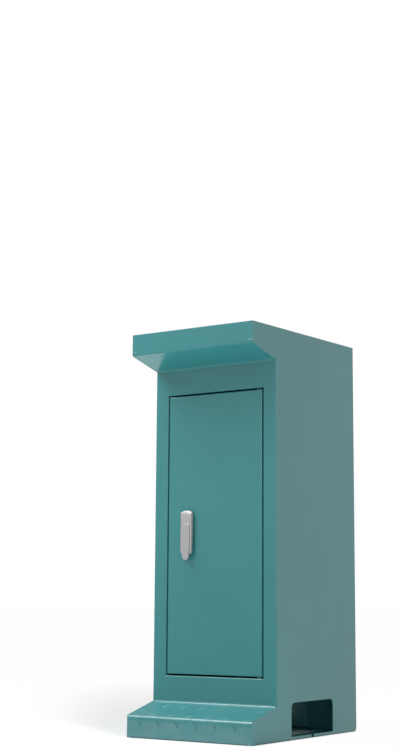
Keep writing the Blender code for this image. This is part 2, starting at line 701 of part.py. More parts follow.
def make_latch_bush(door_axis):
    """Flanged bush in the door that the spindle turns in, and the nut that clamps it."""
    base = (LATCH_X, FRONT, LATCH_HEIGHT)
    bore = SPINDLE_RADIUS + FIT
    nut_start = SHEET + FIT
    end = nut_start + LATCH_NUT_HEIGHT + LATCH_BUSH_PROUD
    flange = LATCH_BUSH_RADIUS + LATCH_BUSH_FLANGE
    flange_front = -FIT - LATCH_BUSH_FLANGE_HEIGHT
    profile = [(bore, flange_front), (flange, flange_front), (flange, -FIT), (LATCH_BUSH_RADIUS, -FIT),
               (LATCH_BUSH_RADIUS, end), (bore, end)]
    bush = add_piece("latch_bush", turned_mesh("latch_bush", profile, base, (0, 1, 0)), "zinc")
    hang(bush, door_axis)

    nut_mesh = hexagon_mesh("latch_bush_nut", LATCH_BUSH_RADIUS + LATCH_NUT_RING, (LATCH_X, LATCH_HEIGHT),
                            FRONT + nut_start, FRONT + nut_start + LATCH_NUT_HEIGHT)
    nut = add_piece("latch_bush_nut", nut_mesh, "plated")
    hang(nut, door_axis)
    thread = turned_mesh("bush_thread", rod_profile(LATCH_BUSH_RADIUS + FIT, -OVERCUT, end + OVERCUT),
                         base, (0, 1, 0))
    combine(nut, add_cutter("bush_thread", thread))


def yoke_rear(z):
    """Distance of the yoke's rear face from the door. It grows towards the lower end."""
    fall = (LATCH_HEIGHT + YOKE_ABOVE - z) / (YOKE_ABOVE + YOKE_BELOW)
    return YOKE_CLEARANCE + YOKE_REAR_RISE * fall


def pocket_profile(front, low):
    """(y, z) outline of the lever's pocket: right through below the web, and round above the cross pin."""
    swing = LEVER_KNUCKLE + LEVER_GAP
    turn = math.acos(-LEVER_PIN_DEPTH / swing)
    web_low = LATCH_HEIGHT - YOKE_WEB_BELOW
    outline = [(front - OVERCUT, low - OVERCUT), (FRONT, low - OVERCUT), (FRONT, web_low),
               (FRONT - YOKE_FLOOR, web_low)]
    for angle in arc_angles(turn, 2 * BEND_STEPS):
        outline.append((LEVER_AXIS_Y + swing * math.cos(angle), LATCH_HEIGHT + swing * math.sin(angle)))
    outline.append((front - OVERCUT, outline[-1][1]))
    return outline


def make_yoke(latch_axis, spindle_bore, cross_bore):
    """Body of the handle: a tapered fork with an arched, sloped top, and the lever between its cheeks."""
    half = YOKE_WIDTH / 2
    top = LATCH_HEIGHT + YOKE_ABOVE
    low = LATCH_HEIGHT - YOKE_BELOW
    front = FRONT - YOKE_FRONT
    outline = [
        (LATCH_X - half, low + YOKE_CORNER), (LATCH_X - half + YOKE_CORNER, low),
        (LATCH_X + half - YOKE_CORNER, low), (LATCH_X + half, low + YOKE_CORNER),
    ]
    arch_radius = (half ** 2 + YOKE_ARCH ** 2) / (2 * YOKE_ARCH)
    arch_half = math.asin(half / arch_radius)
    for angle in arc_angles(2 * arch_half, 2 * BEND_STEPS):
        lean = arch_half - angle
        outline.append((LATCH_X + arch_radius * math.sin(lean), top - arch_radius * (1 - math.cos(lean))))
    bm = prism_bmesh([(x, front, z) for x, z in outline], (0, YOKE_FRONT, 0))
    for vert in bm.verts:
        if vert.co.y > front + YOKE_FRONT / 2:
            vert.co.y = FRONT - yoke_rear(vert.co.z)
    rim = [edge for edge in bm.edges if all(abs(vert.co.y - front) < FIT for vert in edge.verts)]
    rounding = min(YOKE_EDGE, 0.8 * (YOKE_FRONT - yoke_rear(low)))
    bmesh.ops.bevel(bm, geom=rim, offset=rounding, segments=4, profile=0.5, affect="EDGES")
    yoke = add_piece("latch_yoke", finish_mesh("latch_yoke", bm), "zinc")

    slope = Vector((YOKE_SLOPE_DEPTH, YOKE_SLOPE_HEIGHT))
    slope_start = Vector((front, top - YOKE_SLOPE_HEIGHT))
    below = slope_start - slope / 2
    above = slope_start + slope * 3 / 2
    wedge = [(LATCH_X - YOKE_WIDTH, y, z) for y, z in (below, above, (below.x, above.y))]
    wedge_bm = prism_bmesh(wedge, (2 * YOKE_WIDTH, 0, 0))
    combine(yoke, add_cutter("yoke_slope", finish_mesh("yoke_slope", wedge_bm)))

    pocket_half = LEVER_HALF + LEVER_SIDE_GAP
    pocket = [(LATCH_X - pocket_half, y, z) for y, z in pocket_profile(front, low)]
    pocket_bm = prism_bmesh(pocket, (2 * pocket_half, 0, 0))
    combine(yoke, add_cutter("lever_pocket", finish_mesh("lever_pocket", pocket_bm)))
    combine(yoke, spindle_bore)
    combine(yoke, cross_bore)
    hang(yoke, latch_axis)


def lever_rear(height):
    """Rear face of the lever, measured from its pin. It comes forward towards the thinner tip."""
    tip_rear = LEVER_FACE + LEVER_TIP_THICKNESS
    return LEVER_KNUCKLE - (LEVER_KNUCKLE - tip_rear) * -height / LEVER_BELOW


def lever_levels():
    """(height, half width, front, rear) of sections down the lever, measured from its pin."""
    tip_centre = LEVER_TIP_RADIUS - LEVER_BELOW
    taper_start = tip_centre + LEVER_TIP_TAPER
    levels = []
    for angle in arc_angles(math.pi / 2, 2 * BEND_STEPS)[2:]:
        reach = LEVER_KNUCKLE * math.sin(angle)
        levels.append((LEVER_KNUCKLE * math.cos(angle), LEVER_HALF, -reach, reach))
    for height in (-LEVER_SHOULDER, taper_start):
        levels.append((height, LEVER_HALF, LEVER_FACE, lever_rear(height)))
    for angle in arc_angles(math.pi / 2, 2 * BEND_STEPS)[:-1]:
        height = tip_centre - LEVER_TIP_RADIUS * math.sin(angle)
        levels.append((height, LEVER_TIP_RADIUS * math.cos(angle), LEVER_FACE, lever_rear(height)))
    return levels


def make_lever(lever_axis, cross_bore):
    """Lever: a knuckle round the cross pin, a face proud of the yoke and a narrower, round tip."""
    bm = bmesh.new()
    rings = []
    for height, half, front, rear in lever_levels():
        inset = half - LEVER_EDGE
        eased = front + LEVER_EDGE
        level = LATCH_HEIGHT + height
        section = [(-half, rear), (-half, eased), (-inset, front), (inset, front), (half, eased), (half, rear)]
        rings.append([bm.verts.new((LATCH_X + x, LEVER_AXIS_Y + y, level)) for x, y in section])
    bm.faces.new(rings[0])
    bm.faces.new(rings[-1])
    for upper, lower in zip(rings, rings[1:]):
        for index in range(len(upper)):
            bm.faces.new((upper[index - 1], upper[index], lower[index], lower[index - 1]))
    lever = add_piece("latch_lever", finish_mesh("latch_lever", bm), "zinc")
    combine(lever, cross_bore)
    hang(lever, lever_axis)


def make_spindle(latch_axis):
    """Spindle through the door, with the cam, washer and nut on its inner end."""
    base = (LATCH_X, FRONT, LATCH_HEIGHT)
    inward = (0, 1, 0)
    shoulder = CAM_FRONT - FRONT - FIT
    cam_back = CAM_FRONT - FRONT + CAM_SHEET
    washer_start = cam_back + FIT
    nut_start = washer_start + WASHER_HEIGHT + FIT
    thread_end = nut_start + CAM_NUT_HEIGHT + THREAD_END
    profile = [(0, LEVER_GAP / 2 - YOKE_FLOOR), (SPINDLE_RADIUS, LEVER_GAP / 2 - YOKE_FLOOR),
               (SPINDLE_RADIUS, shoulder), (THREAD_RADIUS, shoulder),
               (THREAD_RADIUS, thread_end), (0, thread_end)]
    spindle = add_piece("latch_spindle", turned_mesh("latch_spindle", profile, base, inward), "steel")
    square = SPINDLE_SQUARE / 2
    key_low = (LATCH_X - square, FRONT + shoulder / 2, LATCH_HEIGHT - square)
    key_high = (LATCH_X + square, FRONT + cam_back - FIT, LATCH_HEIGHT + square)
    combine(spindle, add_cutter("spindle_square", box_mesh("spindle_square", key_low, key_high)), "UNION")
    hang(spindle, latch_axis)

    half = CAM_WIDTH / 2
    outline = []
    for angle in arc_angles(math.pi, 2 * BEND_STEPS):
        outline.append((LATCH_X + half * math.cos(angle), LATCH_HEIGHT + half * math.sin(angle)))
    end = LATCH_HEIGHT - CAM_REACH + half
    for angle in arc_angles(math.pi, 2 * BEND_STEPS):
        outline.append((LATCH_X - half * math.cos(angle), end - half * math.sin(angle)))
    cam_bm = prism_bmesh([(x, CAM_FRONT, z) for x, z in outline], (0, CAM_SHEET, 0))
    cam = add_piece("latch_cam", finish_mesh("latch_cam", cam_bm), "plated")
    hole = square + FIT
    hole_low = (LATCH_X - hole, CAM_FRONT - OVERCUT, LATCH_HEIGHT - hole)
    hole_high = (LATCH_X + hole, CAM_FRONT + OVERCUT, LATCH_HEIGHT + hole)
    combine(cam, add_cutter("cam_square", box_mesh("cam_square", hole_low, hole_high)))
    hang(cam, latch_axis)

    bore = THREAD_RADIUS + FIT
    ring = ring_profile(bore, THREAD_RADIUS + FIT + WASHER_RING, washer_start, washer_start + WASHER_HEIGHT)
    washer = add_piece("cam_washer", turned_mesh("cam_washer", ring, base, inward), "plated")
    hang(washer, latch_axis)
    nut_mesh = hexagon_mesh("cam_nut", bore + CAM_NUT_RING, (LATCH_X, LATCH_HEIGHT),
                            FRONT + nut_start, FRONT + nut_start + CAM_NUT_HEIGHT)
    nut = add_piece("cam_nut", nut_mesh, "plated")
    rod = rod_profile(bore, nut_start - OVERCUT, thread_end + OVERCUT)
    thread = turned_mesh("cam_thread", rod, base, inward)
    combine(nut, add_cutter("cam_thread", thread))
    hang(nut, latch_axis)


def make_cross_pin(latch_axis):
    """Pin across the cheeks of the yoke that the lever folds on, with its ends flush."""
    base = (LATCH_X, LEVER_AXIS_Y, LATCH_HEIGHT)
    reach = YOKE_WIDTH / 2 - CROSS_PIN_INSET
    rod = rod_profile(CROSS_PIN_RADIUS, -reach, reach)
    pin = add_piece("latch_cross_pin", turned_mesh("latch_cross_pin", rod, base, (1, 0, 0)), "zinc")
    hang(pin, latch_axis)


def make_latch(door_axis):
    """Latch handle on the left of the door, from the lever in front to the cam behind."""
    latch_axis = add_axis("latch_turn_axis", (LATCH_X, FRONT, LATCH_HEIGHT), door_axis)
    lever_axis = add_axis("lever_lift_axis", (LATCH_X, LEVER_AXIS_Y, LATCH_HEIGHT), latch_axis)
    spindle_bore = turned_mesh("spindle_bore", rod_profile(SPINDLE_RADIUS + FIT, 0, YOKE_FLOOR + FIT),
                               (LATCH_X, FRONT, LATCH_HEIGHT), (0, -1, 0))
    cross_bore = turned_mesh("cross_bore", rod_profile(CROSS_PIN_RADIUS + FIT, -YOKE_WIDTH, YOKE_WIDTH),
                             (LATCH_X, LEVER_AXIS_Y, LATCH_HEIGHT), (1, 0, 0))
    cross_cutter = add_cutter("cross_bore", cross_bore)
    make_latch_bush(door_axis)
    make_yoke(latch_axis, add_cutter("spindle_bore", spindle_bore), cross_cutter)
    make_lever(lever_axis, cross_cutter)
    make_spindle(latch_axis)
    make_cross_pin(latch_axis)


def main():
    make_side_panel("left_side_panel", -1)
    make_side_panel("right_side_panel", 1)
    make_back()
    make_head()
    make_step()
    make_front_frame(make_hinge_cutter("hinge_pin_holes", PIN_RADIUS + FIT, DOOR_GAP + SHEET + OVERCUT))
    make_cabinet_floor()
    make_seat()
    make_door_stop()
    door_axis = add_axis("door_swing_axis", (HINGE_X, HINGE_Y, DOOR_BOTTOM))
    make_door(door_axis)
    make_latch(door_axis)


main()
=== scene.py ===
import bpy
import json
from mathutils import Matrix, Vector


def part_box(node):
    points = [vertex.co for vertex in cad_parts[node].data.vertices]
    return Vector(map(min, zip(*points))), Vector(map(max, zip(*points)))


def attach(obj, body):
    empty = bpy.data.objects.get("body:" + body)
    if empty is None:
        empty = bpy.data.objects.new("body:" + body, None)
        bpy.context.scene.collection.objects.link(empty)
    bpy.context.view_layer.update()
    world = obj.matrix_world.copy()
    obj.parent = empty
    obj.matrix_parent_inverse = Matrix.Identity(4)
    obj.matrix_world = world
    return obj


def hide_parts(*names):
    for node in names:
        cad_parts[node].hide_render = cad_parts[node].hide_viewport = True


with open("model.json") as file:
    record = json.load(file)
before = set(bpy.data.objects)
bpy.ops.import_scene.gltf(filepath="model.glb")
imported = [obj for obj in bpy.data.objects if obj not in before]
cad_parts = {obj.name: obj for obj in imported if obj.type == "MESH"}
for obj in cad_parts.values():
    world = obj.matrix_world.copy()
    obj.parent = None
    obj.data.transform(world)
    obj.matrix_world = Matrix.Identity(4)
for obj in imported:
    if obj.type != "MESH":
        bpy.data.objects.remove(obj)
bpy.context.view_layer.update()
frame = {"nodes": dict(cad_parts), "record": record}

import json
import math

import bmesh
import bpy
from mathutils import Matrix, Vector

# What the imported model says
NODES = frame["nodes"]
RECORD = frame["record"]
SLOT_OF = {row["node"]: row["material_slot"] for row in RECORD["subparts"]}
BODY_OF = {node: body for body, members in RECORD["behaviour"]["bodies"].items()
           for node in members}

# Places read from the model
STEP_LOW, STEP_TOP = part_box("tread_step")
HEAD_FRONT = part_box("head_fascia")[0].y
FRAME_LOW, FRAME_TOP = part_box("front_frame")
SIDE_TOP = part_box("right_side_panel")[1]
FRONT = FRAME_LOW.y
INNER = STEP_TOP.x
FLANGE_EDGE = FRAME_TOP.x
STEP_FRONT = STEP_LOW.y
HALF = SIDE_TOP.x
HEIGHT = SIDE_TOP.z

# Sizes that the pieces below share with the model
FRAME_SEAM = 0.002
RISER_HEIGHT = 0.045
NOSE_BEND = 0.005
FASCIA_HEIGHT = 0.0465
HEAD_BEND = 0.003
SIDE_BEND = 0.004
FLANGE_RELIEF = 0.0008
STEP_FLANGE_HIGH = RISER_HEIGHT - 2 * NOSE_BEND
STEP_HIGH = FRAME_LOW.z - FRAME_SEAM
HEAD_LOW = FRAME_TOP.z + FRAME_SEAM
FASCIA_LOW = HEIGHT - FASCIA_HEIGHT
HEAD_FLANGE_LOW = FASCIA_LOW + 2 * HEAD_BEND

# Softened edges of the sheets and castings
SHEET_EDGE = 0.0004
EDGE_SEGMENTS = 2
NORMAL_WEIGHT = 80
EAR_EDGE = 0.0015
EAR_SEGMENTS = 4
CORNER_BEND = 0.0018
BEND_FIT = 0.00002
CAST_EDGE = 0.0007
SMALL_EDGE = 0.0002
FLAT_ANGLE = math.radians(0.5)
SHARP_ANGLE = math.radians(38)
WELD_DISTANCE = 1e-6

# Welds: legs of the beads, how deep they sink into the sheets, how they end over the side seams,
# and their ripple
BEAD_LEG = 0.0042
BEAD_SINK = 0.0003
BEAD_STEPS = 8
BEAD_END = 0.45
BEAD_REACH = 0.001
RIPPLE_LENGTH = 0.0035
RIPPLE_HEIGHT = 0.00012
RIPPLE_STEPS = 4

# Ground seams and corner welds. A row of a corner weld says how far it lies past the end of the
# flange, its corner radius and how far it stands proud of the sheet.
SEAM_HALF = 0.0008
SEAM_RISE = 0.00006
SEAM_SHOULDER = 0.75 * SEAM_RISE
FILL_DEPTH = 0.0008
FILL_OVERLAP = 0.001
FILL_STEPS = 6
FILL_ROWS = (
    (-0.0022, CORNER_BEND, -0.00004),
    (-0.0012, CORNER_BEND, 0.00008),
    (0.0, CORNER_BEND, 0.00012),
    (FLANGE_RELIEF, CORNER_BEND, 0.00012),
    (0.0022, EAR_EDGE, 0.00008),
    (0.0034, EAR_EDGE, -0.00004),
)

# Raised lugs of the tread plate
LUG_PITCH = 0.0487
LUG_LENGTH = 0.024
LUG_WIDTH = 0.0065
LUG_RISE = 0.0011
LUG_START_X = -0.127
LUG_START = 0.034
LUG_TILT = math.radians(45)
RISER_LUG_TILT = math.radians(62)
LUG_STEPS = 10
LUG_PROFILE = (-1.0, -0.8, -0.45, 0.0, 0.45, 0.8, 1.0)
LUG_FULLNESS = 1.6
LUG_END_MARGIN = 0.002


def clean_copy(node):
    """Mesh of a CAD solid with its split corners joined again and its flat faces whole."""
    bm = bmesh.new()
    bm.from_mesh(NODES[node].data)
    bmesh.ops.remove_doubles(bm, verts=bm.verts, dist=WELD_DISTANCE)
    bmesh.ops.dissolve_limit(bm, angle_limit=FLAT_ANGLE, verts=bm.verts, edges=bm.edges)
    return bm


def add_piece(name, bm, body, material, edge=0.0):
    """New piece of the object from a bmesh, with smooth shading and softened edges."""
    mesh = bpy.data.meshes.new(name)
    bmesh.ops.recalc_face_normals(bm, faces=bm.faces)
    bm.to_mesh(mesh)
    bm.free()
    mesh.shade_smooth()
    mesh.materials.append(material)
    piece = bpy.data.objects.new(name, mesh)
    bpy.context.scene.collection.objects.link(piece)
    if edge:
        bevel = piece.modifiers.new("edge", "BEVEL")
        bevel.width = edge
        bevel.segments = EDGE_SEGMENTS
        bevel.limit_method = "ANGLE"
        bevel.angle_limit = SHARP_ANGLE
    weighted = piece.modifiers.new("normals", "WEIGHTED_NORMAL")
    weighted.weight = NORMAL_WEIGHT
    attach(piece, body)
    return piece


def tighten_bends(bm):
    """Press the outer corners of a side panel's front folds to a small radius."""
    for vert in bm.verts:
        for face in (FRONT, HEAD_FRONT, STEP_FRONT):
            across = SIDE_BEND - HALF + abs(vert.co.x)
            along = SIDE_BEND - vert.co.y + face
            on_arc = abs(math.hypot(across, along) - SIDE_BEND) < BEND_FIT
            if on_arc and min(across, along) > -BEND_FIT:
                angle = math.atan2(along, across)
                vert.co.x = math.copysign(HALF - CORNER_BEND * (1 - math.cos(angle)), vert.co.x)
                vert.co.y = face + CORNER_BEND * (1 - math.sin(angle))
                break


def round_ears(bm):
    """Grind the outer edges of a side panel in front of the cabinet, at the step and the head."""
    def on_ear(vert):
        return abs(vert.co.x) > HALF - WELD_DISTANCE and vert.co.y < FRONT - SHEET_EDGE

    rim = [edge for edge in bm.edges
           if all(on_ear(vert) for vert in edge.verts) and edge.calc_face_angle() > SHARP_ANGLE]
    bmesh.ops.bevel(bm, geom=rim, offset=EAR_EDGE, segments=EAR_SEGMENTS, profile=0.5,
                    affect="EDGES")


def dress(node, material, edge):
    """Softened copy of a CAD solid, which stands for it."""
    bm = clean_copy(node)
    if node in ("left_side_panel", "right_side_panel"):
        tighten_bends(bm)
        round_ears(bm)
    piece = add_piece(node + "_skin", bm, BODY_OF[node], material, edge)
    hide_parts(node)
    return piece


# Sockets of a Mix node that mixes colours
MIX_FACTOR, MIX_FIRST, MIX_SECOND, MIX_RESULT = 0, 6, 7, 2


class Finish:
    """A material made of nodes."""

    def __init__(self, name, colour, roughness, metallic=0.0):
        self.material = bpy.data.materials.new(name)
        self.material.use_nodes = True
        self.nodes = self.material.node_tree.nodes
        self.links = self.material.node_tree.links
        self.shader = self.nodes["Principled BSDF"]
        self.shader.inputs["Base Color"].default_value = (*colour, 1.0)
        self.shader.inputs["Roughness"].default_value = roughness
        self.shader.inputs["Metallic"].default_value = metallic
        self.place = self.nodes.new("ShaderNodeTexCoord").outputs["Object"]

    def noise(self, scale, detail=2.0, stretch=None):
        """Noise over the piece. A stretch multiplies the coordinates before it."""
        node = self.nodes.new("ShaderNodeTexNoise")
        node.inputs["Scale"].default_value = scale
        node.inputs["Detail"].default_value = detail
        place = self.place
        if stretch:
            mapping = self.nodes.new("ShaderNodeMapping")
            mapping.inputs["Scale"].default_value = stretch
            self.links.new(place, mapping.inputs["Vector"])
            place = mapping.outputs["Vector"]
        self.links.new(place, node.inputs["Vector"])
        return node.outputs["Fac"]

    def spread(self, value, low, high, start=0.3, end=0.7):
        """Map a value from start..end to low..high."""
        node = self.nodes.new("ShaderNodeMapRange")
        node.inputs["From Min"].default_value = start
        node.inputs["From Max"].default_value = end
        node.inputs["To Min"].default_value = low
        node.inputs["To Max"].default_value = high
        self.links.new(value, node.inputs["Value"])
        return node.outputs["Result"]

    def axis(self, name):
        """One coordinate of the place on the piece."""
        node = self.nodes.new("ShaderNodeSeparateXYZ")
        self.links.new(self.place, node.inputs["Vector"])
        return node.outputs[name]

    def times(self, first, second):
        """Product of two values."""
        node = self.nodes.new("ShaderNodeMath")
        node.operation = "MULTIPLY"
        self.links.new(first, node.inputs[0])
        self.links.new(second, node.inputs[1])
        return node.outputs["Value"]

    def mix(self, factor, first, second):
        """Colour between two colours or colour outputs."""
        node = self.nodes.new("ShaderNodeMix")
        node.data_type = "RGBA"
        self.links.new(factor, node.inputs[MIX_FACTOR])
        for socket, value in ((node.inputs[MIX_FIRST], first), (node.inputs[MIX_SECOND], second)):
            if isinstance(value, tuple):
                socket.default_value = (*value, 1.0)
            else:
                self.links.new(value, socket)
        return node.outputs[MIX_RESULT]

    def bump(self, *layers):
        """Bumps from (height, strength, distance) layers, one over the other."""
        normal = None
        for height, strength, distance in layers:
            node = self.nodes.new("ShaderNodeBump")
            node.inputs["Strength"].default_value = strength
            node.inputs["Distance"].default_value = distance
            self.links.new(height, node.inputs["Height"])
            if normal:
                self.links.new(normal, node.inputs["Normal"])
            normal = node.outputs["Normal"]
        self.links.new(normal, self.shader.inputs["Normal"])

    def use(self, socket, value):
        """Link a value to one of the shader's sockets."""
        self.links.new(value, self.shader.inputs[socket])


def shade(colour, factor):
    """A colour made lighter or darker."""
    return tuple(channel * factor for channel in colour)


# Colours of the finishes
TEAL = (0.040, 0.250, 0.262)
SILVER = (0.47, 0.47, 0.48)
PLATE = (0.62, 0.60, 0.54)
PLATE_COOL = (0.60, 0.60, 0.58)
PLATE_WARM = (0.64, 0.59, 0.47)
PLATE_DULL = (0.45, 0.45, 0.44)
STEEL = (0.56, 0.56, 0.57)
RUBBER = (0.022, 0.022, 0.023)
RUBBER_BLOOM = (0.05, 0.05, 0.05)
SCUFFED = (0.16, 0.37, 0.37)
# Pale colour of the painted highlight along the nose of the step
NOSE_HIGHLIGHT_COLOUR = (0.34, 0.54, 0.54)

# Tones over the riser, greyer on the sheets and darker on the lugs: colour, least and most
# cover, and how high they reach
RISER_GREY = (0.33, 0.36, 0.41)
RISER_GREY_COVER = (0.06, 0.21)
RISER_GREY_TOP = RISER_HEIGHT - 0.008
RISER_LUG_DARK = (0.022, 0.130, 0.138)
RISER_LUG_DARK_COVER = (0.35, 0.62)
RISER_LUG_DARK_TOP = RISER_HEIGHT - 0.001
RISER_TONE_FADE = 0.005
RISER_TONE_REACH = (STEP_FRONT + 0.0005, STEP_FRONT + 0.003)

# Painted highlight along the nose of the step: between these heights and places from its front
NOSE_HIGHLIGHT_HEIGHT = (RISER_HEIGHT - 0.0035, RISER_HEIGHT - 0.0015)
NOSE_HIGHLIGHT_REACH = (STEP_FRONT + 0.0022, STEP_FRONT + 0.0045)


def make_paint(name, scuffs_and_nose_highlight, riser_tone, cover, riser_tone_top):
    """Powder coat: fine orange peel and slow drifts of tone and gloss.

    Scuffs are added where feet go, with a painted highlight along the nose. The given tone lies
    over the riser of the step up to a height, and cover is the least and most of it.
    """
    finish = Finish(name, TEAL, 0.25)
    finish.shader.inputs["IOR"].default_value = 1.5
    finish.shader.inputs["Specular IOR Level"].default_value = 0.8
    drift = finish.spread(finish.noise(4.5, 3.0), 0.0, 1.0)
    colour = finish.mix(drift, shade(TEAL, 0.96), shade(TEAL, 1.04))
    speck = finish.spread(finish.noise(1400.0, 1.0), 0.0, 1.0)
    colour = finish.mix(finish.spread(speck, 0.0, 0.07, 0.0, 1.0), colour, shade(TEAL, 0.55))
    low = finish.spread(finish.axis("Z"), 1.0, 0.0, riser_tone_top - RISER_TONE_FADE, riser_tone_top)
    foremost = finish.spread(finish.axis("Y"), 1.0, 0.0, *RISER_TONE_REACH)
    patches = finish.spread(finish.noise(42.0, 4.0), *cover)
    colour = finish.mix(finish.times(finish.times(low, foremost), patches), colour, riser_tone)
    gloss = finish.spread(finish.noise(9.0, 2.0), 0.18, 0.22, 0.2, 0.8)
    if scuffs_and_nose_highlight:
        patch = finish.spread(finish.noise(26.0, 5.0), 0.0, 1.0, 0.52, 0.70)
        streak = finish.spread(finish.noise(160.0, 3.0, (1.0, 0.18, 0.18)), 0.0, 1.0, 0.50, 0.72)
        worn = finish.times(patch, streak)
        colour = finish.mix(finish.spread(worn, 0.0, 0.22, 0.0, 1.0), colour, SCUFFED)
        gloss = finish.spread(finish.noise(30.0, 4.0), 0.32, 0.44)
        # Painted highlight along the nose of the step, broken up by noise
        above = finish.spread(finish.axis("Z"), 0.0, 1.0, *NOSE_HIGHLIGHT_HEIGHT)
        ahead = finish.spread(finish.axis("Y"), 1.0, 0.0, *NOSE_HIGHLIGHT_REACH)
        nose_highlight = finish.times(above, ahead)
        highlight_breakup = finish.spread(finish.noise(70.0, 3.0), 0.30, 0.75)
        colour = finish.mix(finish.times(nose_highlight, highlight_breakup), colour, NOSE_HIGHLIGHT_COLOUR)
    finish.use("Base Color", colour)
    finish.use("Roughness", gloss)
    finish.bump((finish.noise(480.0, 1.0), 0.10, 0.0004), (finish.noise(60.0, 2.0), 0.05, 0.0006))
    return finish.material


def make_silver(name):
    """Satin silver lacquer on a die casting, with a fine metal grain."""
    finish = Finish(name, SILVER, 0.4, 0.25)
    grain = finish.spread(finish.noise(2200.0, 2.0), 0.0, 1.0)
    cloud = finish.spread(finish.noise(90.0, 3.0), 0.0, 1.0)
    colour = finish.mix(grain, shade(SILVER, 0.88), shade(SILVER, 1.10))
    colour = finish.mix(finish.spread(cloud, 0.0, 0.18, 0.0, 1.0), colour, shade(SILVER, 0.82))
    finish.use("Base Color", colour)
    finish.use("Roughness", finish.spread(finish.noise(140.0, 3.0), 0.34, 0.48))
    finish.bump((finish.noise(1500.0, 2.0), 0.10, 0.0001), (finish.noise(150.0, 1.0), 0.08, 0.0003))
    return finish.material


def make_plate(name):
    """Zinc plate: a faint yellow and blue cast in small clouds over rolled steel."""
    finish = Finish(name, PLATE, 0.35, 1.0)
    cloud = finish.spread(finish.noise(120.0, 3.0), 0.0, 1.0)
    colour = finish.mix(cloud, PLATE_COOL, PLATE_WARM)
    dull = finish.spread(finish.noise(900.0, 2.0), 0.0, 0.3)
    colour = finish.mix(dull, colour, PLATE_DULL)
    finish.use("Base Color", colour)
    finish.use("Roughness", finish.spread(finish.noise(300.0, 3.0), 0.28, 0.46))
    finish.bump((finish.noise(1100.0, 2.0), 0.08, 0.0001))
    return finish.material


def make_steel(name):
    """Bright turned steel with fine rings along its length."""
    finish = Finish(name, STEEL, 0.25, 1.0)
    rings = finish.spread(finish.noise(1800.0, 2.0, (0.1, 0.1, 1.0)), 0.0, 1.0)
    finish.use("Base Color", finish.mix(rings, shade(STEEL, 0.88), shade(STEEL, 1.08)))
    finish.use("Roughness", finish.spread(finish.noise(400.0, 2.0), 0.20, 0.36))
    finish.bump((rings, 0.06, 0.0001))
    return finish.material


def make_rubber(name):
    """Black rubber with a dry bloom."""
    finish = Finish(name, RUBBER, 0.8)
    bloom = finish.spread(finish.noise(260.0, 4.0), 0.0, 1.0, 0.45, 0.75)
    finish.use("Base Color", finish.mix(bloom, RUBBER, RUBBER_BLOOM))
    finish.use("Roughness", finish.spread(finish.noise(700.0, 2.0), 0.68, 0.88))
    finish.bump((finish.noise(1600.0, 2.0), 0.15, 0.0001))
    return finish.material


PAINT = make_paint("powder_coat", False, RISER_GREY, RISER_GREY_COVER, RISER_GREY_TOP)
STEP_PAINT = make_paint("powder_coat_tread", True, RISER_GREY, RISER_GREY_COVER, RISER_GREY_TOP)
LUG_PAINT = make_paint("powder_coat_lugs", True, RISER_LUG_DARK, RISER_LUG_DARK_COVER, RISER_LUG_DARK_TOP)
FINISH_OF_SLOT = {
    "teal_paint": PAINT,
    "silver_diecast": make_silver("satin_silver"),
    "plated_steel": make_plate("zinc_plate"),
    "bright_steel": make_steel("turned_steel"),
    "buffer_rubber": make_rubber("black_rubber"),
}
EDGE_OF_SLOT = {
    "teal_paint": SHEET_EDGE,
    "silver_diecast": CAST_EDGE,
    "plated_steel": SMALL_EDGE,
    "bright_steel": SMALL_EDGE,
    "buffer_rubber": SMALL_EDGE,
}


def dress_all():
    """Every CAD solid gets a softened copy in its finish."""
    for node, slot in SLOT_OF.items():
        material = STEP_PAINT if node == "tread_step" else FINISH_OF_SLOT[slot]
        dress(node, material, EDGE_OF_SLOT[slot])


def swept_bead(name, corner, along_first, along_second, half_length):
    """Weld bead in a corner that runs along X, with one leg on each sheet and a fine ripple.

    The corner is a (y, z) place, and the legs follow the two given directions.
    """
    first = Vector(along_first).normalized()
    second = Vector(along_second).normalized()
    inward = -(first + second).normalized()
    root = Vector(corner)
    start = root + first * BEAD_LEG
    end = root + second * BEAD_LEG
    open_angle = first.angle(second)
    radius = BEAD_LEG * math.tan(open_angle / 2)
    centre = root - inward * BEAD_LEG / math.cos(open_angle / 2)
    turn = (start - centre).angle(end - centre)
    sign = math.copysign(1.0, (start - centre).cross(end - centre))
    steps = int(2 * half_length / RIPPLE_LENGTH * RIPPLE_STEPS)
    bm = bmesh.new()
    rings = []
    for step in range(steps + 1):
        x = -half_length + 2 * half_length * step / steps
        size = min(1.0, BEAD_END + (1 - BEAD_END) * (half_length - abs(x)) / BEAD_LEG)
        swell = RIPPLE_HEIGHT * math.sin(2 * math.pi * x / RIPPLE_LENGTH)
        ring = [root + inward * BEAD_SINK, start + inward * BEAD_SINK]
        for i in range(BEAD_STEPS + 1):
            angle = sign * turn * i / BEAD_STEPS
            lift = swell * math.sin(math.pi * i / BEAD_STEPS)
            arm = Matrix.Rotation(angle, 2) @ (start - centre)
            ring.append(centre + arm * (1 - lift / radius))
        ring.append(end + inward * BEAD_SINK)
        ring = [root + (place - root) * size for place in ring]
        rings.append([bm.verts.new((x, place.x, place.y)) for place in ring])
    count = len(rings[0])
    for here, there in zip(rings, rings[1:]):
        for i in range(count):
            bm.faces.new((here[i], here[(i + 1) % count], there[(i + 1) % count], there[i]))
    bm.faces.new(rings[0])
    bm.faces.new(list(reversed(rings[-1])))
    return add_piece(name, bm, "stand", PAINT)


def make_beads():
    """Beads that join the front to the tread below it and to the head above it."""
    half_length = INNER + BEAD_REACH
    down_tread = (STEP_FRONT - FRONT, RISER_HEIGHT - STEP_HIGH)
    swept_bead("step_weld", (FRONT, STEP_HIGH), down_tread, (0, 1), half_length)
    up_slope = (HEAD_FRONT - FRONT, FASCIA_LOW - HEAD_LOW)
    swept_bead("head_weld", (FRONT, HEAD_LOW), up_slope, (0, -1), half_length)


